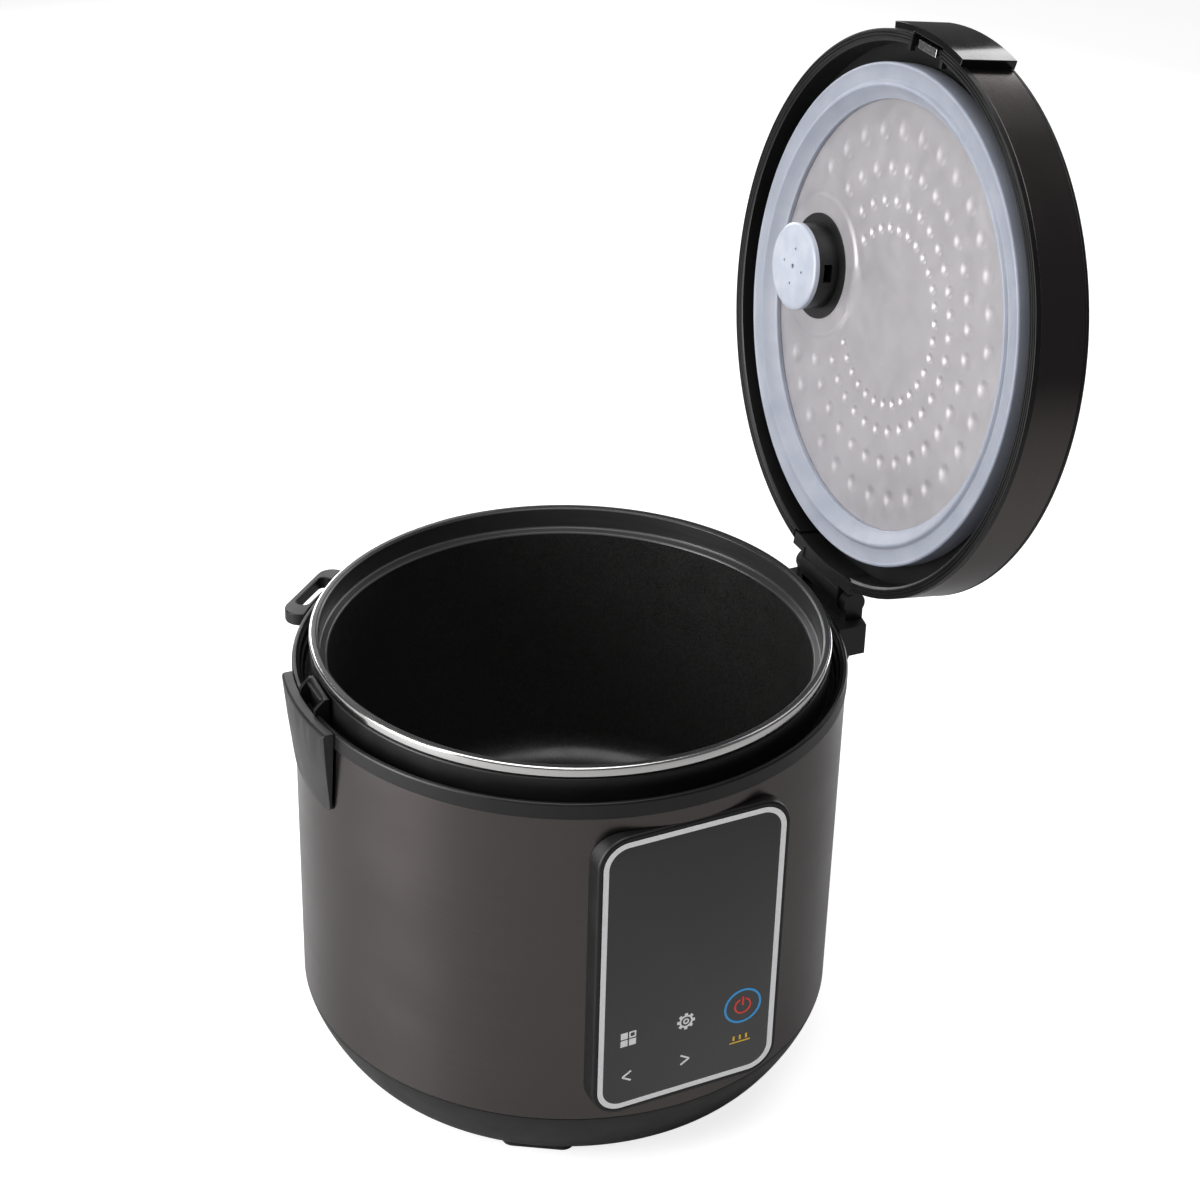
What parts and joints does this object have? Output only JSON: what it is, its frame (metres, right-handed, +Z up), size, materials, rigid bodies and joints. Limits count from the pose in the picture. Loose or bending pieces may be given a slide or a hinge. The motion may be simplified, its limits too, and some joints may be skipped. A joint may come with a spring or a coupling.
{
  "type": "electric pressure cooker",
  "caption": "Round electric multi pressure cooker with a side-hinged lid standing open, a dark metal shell, a touch panel and a removable pot.",
  "frame": {"origin": "centre of the round body in the plane that the feet stand on", "axes": "+Z up, the control panel faces -Y, the lid's hinge is at +X with its axis along +Y, the latch at -X; the lid is stored open"},
  "size_m": [0.347, 0.2736, 0.5089],
  "materials": {
    "black_plastic": "satin",
    "gloss_black": "gloss",
    "shield_plastic": "satin",
    "rubber": "matte",
    "dark_steel": "brushed, dark plated",
    "steel": "plain",
    "aluminium": "satin",
    "panel_glass": "gloss",
    "white_print": "printed",
    "blue_print": "printed",
    "red_print": "printed",
    "amber_print": "printed",
    "circuit_board": "semi gloss",
    "ceramic": "matte",
    "mica": "matte",
    "yellow_tape": "matte",
    "relay_blue": "semi gloss",
    "capacitor_sleeve": "semi gloss",
    "red_wire": "matte",
    "pot_coating": "non-stick",
    "silicone": "translucent",
    "clear_cap": "translucent"
  },
  "bodies": {
    "base": {"base_housing": "black_plastic", "foot_pads": "rubber", "base_screws": "steel", "outer_shell": "dark_steel", "collar_ring": "black_plastic", "collar_screws": "steel", "latch_catch": "black_plastic", "latch_side_shield": "shield_plastic", "hinge_side_shield": "shield_plastic", "hinge_housing": "black_plastic", "hinge_pin": "steel", "hinge_spring": "steel", "ladle_loop": "black_plastic", "panel_frame": "black_plastic", "panel_glass": "panel_glass", "panel_border": "white_print", "icons_white": "white_print", "power_ring": "blue_print", "power_mark": "red_print", "warm_mark": "amber_print", "display_module": "panel_glass", "touch_board": "circuit_board", "inner_liner": "steel", "side_heater": "mica", "heating_plate": "aluminium", "heater_tube": "steel", "plate_posts": "steel", "sensor_guide": "ceramic", "sensor_spring": "steel", "thermal_fuse": "ceramic", "power_board": "circuit_board", "board_posts": "black_plastic", "transformer": "yellow_tape", "relay": "relay_blue", "capacitor": "capacitor_sleeve", "wiring": "red_wire", "power_inlet": "black_plastic", "inlet_pins": "steel"},
    "lid": {"lid_rim": "black_plastic", "lid_band": "dark_steel", "lid_trim": "black_plastic", "lid_cover": "gloss_black", "lid_hinge_block": "black_plastic", "latch_housing": "gloss_black", "latch_pin": "steel", "latch_spring": "steel", "lid_screws": "steel", "plate_clips": "steel", "lid_plate": "aluminium", "lid_gasket": "silicone", "valve_body": "black_plastic", "valve_cap": "clear_cap"},
    "latch": {"latch_lever": "black_plastic", "latch_hook": "steel"},
    "vent": {"vent_cap": "gloss_black"},
    "float": {"float_pin": "steel"},
    "sensor": {"sensor_cup": "aluminium"},
    "pot": {"inner_pot": "pot_coating"}
  },
  "joints": [
    {"name": "lid_hinge", "type": "hinge", "parent": "base", "child": "lid", "pos_m": [0.1433, 0, 0.2272], "axis": [0, 1, 0], "range_deg": [-97.8, 0], "deforming": ["hinge_spring"]},
    {"name": "latch_press", "type": "hinge", "parent": "lid", "child": "latch", "pos_m": [0.19352, 0, 0.49214], "axis": [0, 1, 0], "range_deg": [0, 5], "stiffness_Nm_per_rad": 0.3, "springref_deg": -8.59, "deforming": ["latch_spring"]},
    {"name": "vent_cap_lift", "type": "slide", "parent": "lid", "child": "vent", "axis": [0.9907, 0, -0.1357], "range_m": [0, 0.04]},
    {"name": "float_rise", "type": "slide", "parent": "lid", "child": "float", "axis": [0.9907, 0, -0.1357], "range_m": [0, 0.004]},
    {"name": "sensor_press", "type": "slide", "parent": "base", "child": "sensor", "axis": [0, 0, 1], "range_m": [-0.003, 0], "stiffness_N_per_m": 900, "springref_m": 0.002, "deforming": ["sensor_spring"]},
    {"name": "pot_lift", "type": "slide", "parent": "base", "child": "pot", "axis": [0, 0, 1], "range_m": [0, 0.16]}
  ]
}
